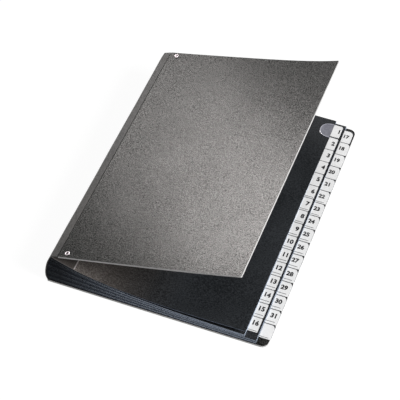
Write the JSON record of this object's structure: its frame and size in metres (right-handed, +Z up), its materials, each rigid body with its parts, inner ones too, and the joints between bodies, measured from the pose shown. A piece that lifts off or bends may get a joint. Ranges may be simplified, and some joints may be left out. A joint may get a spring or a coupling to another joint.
{
  "type": "signature book",
  "caption": "Desk signature book and sorting file with raised front cover, rounded cloth spine and dark divider leaves with stepped, numbered index tabs.",
  "frame": {"origin": "centre of the back cover's underside", "axes": "+X from the spine to the fore-edge, +Y along the spine to the first label's end, +Z up from the table"},
  "size_m": [0.2571, 0.34, 0.1092],
  "materials": {
    "pressboard": "satin, fine mottled grain",
    "spine_cloth": "matt bookbinding cloth",
    "leaf_card": "matt dyed card",
    "label_paper": "smooth white under film",
    "film": "glossy film",
    "nickel": "bright nickel plate"
  },
  "bodies": {
    "back": {"back_cover": "pressboard"},
    "leaves": {"divider_block": "leaf_card", "spine_cloth": "spine_cloth", "tab_film": "film", "label_01": "label_paper", "label_02": "label_paper", "label_03": "label_paper", "label_04": "label_paper", "label_05": "label_paper", "label_06": "label_paper", "label_07": "label_paper", "label_08": "label_paper", "label_09": "label_paper", "label_10": "label_paper", "label_11": "label_paper", "label_12": "label_paper", "label_13": "label_paper", "label_14": "label_paper", "label_15": "label_paper", "label_16": "label_paper", "label_17": "label_paper", "label_18": "label_paper", "label_19": "label_paper", "label_20": "label_paper", "label_21": "label_paper", "label_22": "label_paper", "label_23": "label_paper", "label_24": "label_paper", "label_25": "label_paper", "label_26": "label_paper", "label_27": "label_paper", "label_28": "label_paper", "label_29": "label_paper", "label_30": "label_paper", "label_31": "label_paper", "label_blank": "label_paper"},
    "front": {"front_cover": "pressboard", "cover_hinge_cloth": "spine_cloth", "eyelet_rear": "nickel", "eyelet_front": "nickel"}
  },
  "joints": [
    {"name": "leaves_turn", "type": "hinge", "parent": "back", "child": "leaves", "pos_m": [-0.1275, 0, 0.0023], "axis": [0, -1, 0], "range_deg": [0, 90]},
    {"name": "front_cover_open", "type": "hinge", "parent": "leaves", "child": "front", "pos_m": [-0.11245, 0, 0.04983], "axis": [0, -1, 0], "range_deg": [-23, 174]}
  ]
}
